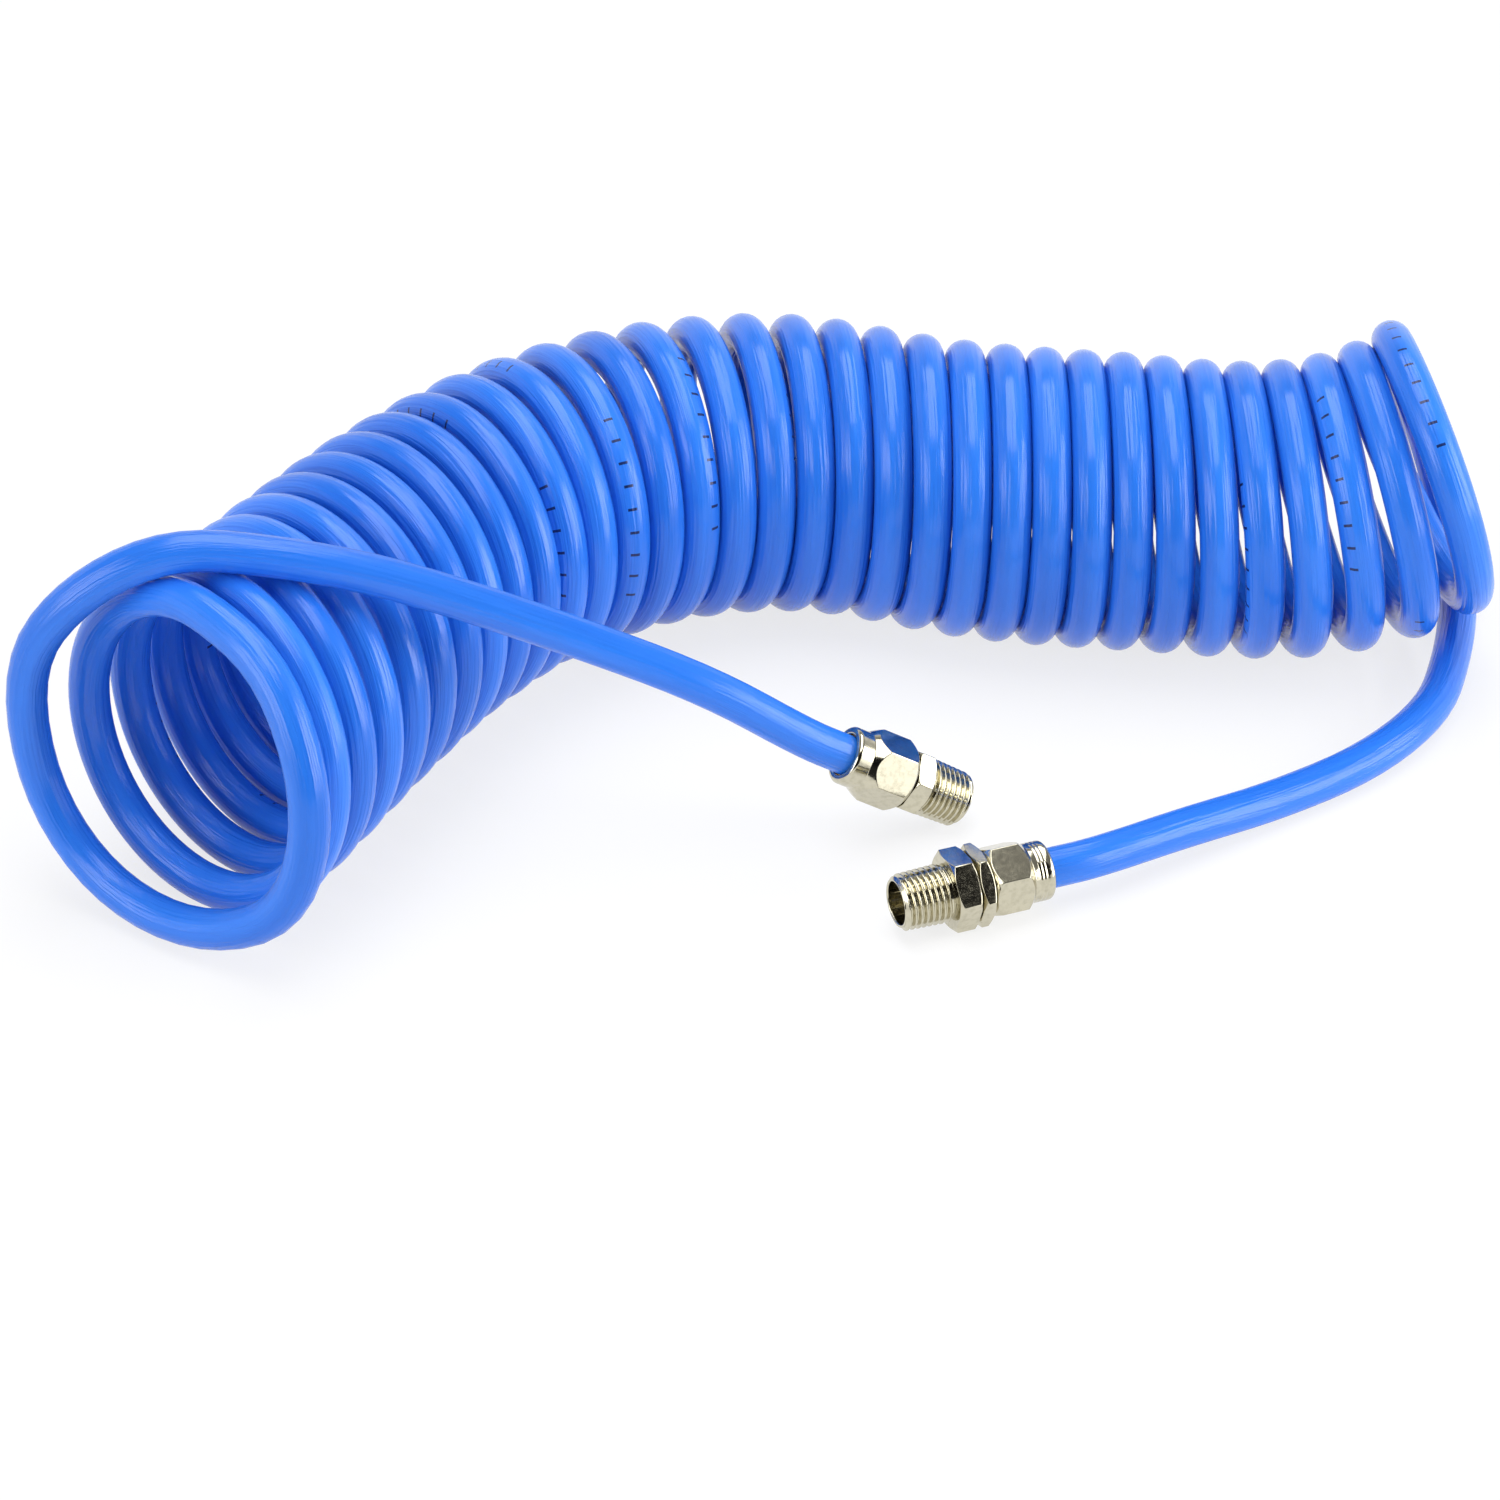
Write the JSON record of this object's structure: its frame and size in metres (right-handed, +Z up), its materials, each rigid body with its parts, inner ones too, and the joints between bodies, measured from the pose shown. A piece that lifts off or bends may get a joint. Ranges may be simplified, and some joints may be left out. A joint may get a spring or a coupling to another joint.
{
  "type": "coiled air hose",
  "caption": "Coiled polyurethane air hose with a rigid male pipe fitting on one end and a swivelling male pipe fitting on the other.",
  "frame": {"origin": "on the resting plane, under the centre of the hose's bounding box", "axes": "+X along the length of the coil, from the end with the loose turn to the lifted end; +Y from the fittings towards the coil's bend; +Z up"},
  "size_m": [0.3552, 0.2105, 0.0934],
  "materials": {
    "hose": "glossy slightly translucent polyurethane",
    "plated_brass": "bright nickel plating on brass",
    "plain_brass": "plain turned brass",
    "spring_steel": "oiled spring steel",
    "seal_rubber": "black nitrile",
    "bearing_plastic": "natural acetal"
  },
  "bodies": {
    "hose": {"hose_coil": "hose", "rigid_end_tail": "hose", "swivel_end_tail": "hose", "rigid_body": "plated_brass", "swivel_barb_body": "plated_brass", "swivel_retaining_ring": "spring_steel", "swivel_o_rings": "seal_rubber", "swivel_thrust_washer": "bearing_plastic"},
    "swivel_stud": {"swivel_stud": "plated_brass"},
    "rigid_ferrule": {"rigid_ferrule": "plain_brass"},
    "rigid_nut": {"rigid_nut": "plated_brass"},
    "swivel_ferrule": {"swivel_ferrule": "plain_brass"},
    "swivel_nut": {"swivel_nut": "plated_brass"}
  },
  "joints": [
    {"name": "stud_swivel", "type": "hinge", "parent": "hose", "child": "swivel_stud", "pos_m": [0.0252, -0.08, 0.00915], "axis": [0.9282, 0.3721, 0], "continuous": true},
    {"name": "rigid_nut_travel", "type": "slide", "parent": "hose", "child": "rigid_ferrule", "axis": [-0.8299, -0.197, 0.5219], "range_m": [0, 0.006]},
    {"name": "rigid_nut_turn", "type": "hinge", "parent": "rigid_ferrule", "child": "rigid_nut", "pos_m": [0.0412, -0.033, 0.0061], "axis": [-0.8299, -0.197, 0.5219], "range_deg": [0, 2160]},
    {"name": "swivel_nut_travel", "type": "slide", "parent": "hose", "child": "swivel_ferrule", "axis": [0.9282, 0.3721, 0], "range_m": [0, 0.006]},
    {"name": "swivel_nut_turn", "type": "hinge", "parent": "swivel_ferrule", "child": "swivel_nut", "pos_m": [0.0252, -0.08, 0.00915], "axis": [0.9282, 0.3721, 0], "range_deg": [0, 2160]}
  ],
  "couplings": [
    {"joint": "rigid_nut_travel", "follows": "rigid_nut_turn", "m_per_rad": 0.00015915},
    {"joint": "swivel_nut_travel", "follows": "swivel_nut_turn", "m_per_rad": 0.00015915}
  ]
}
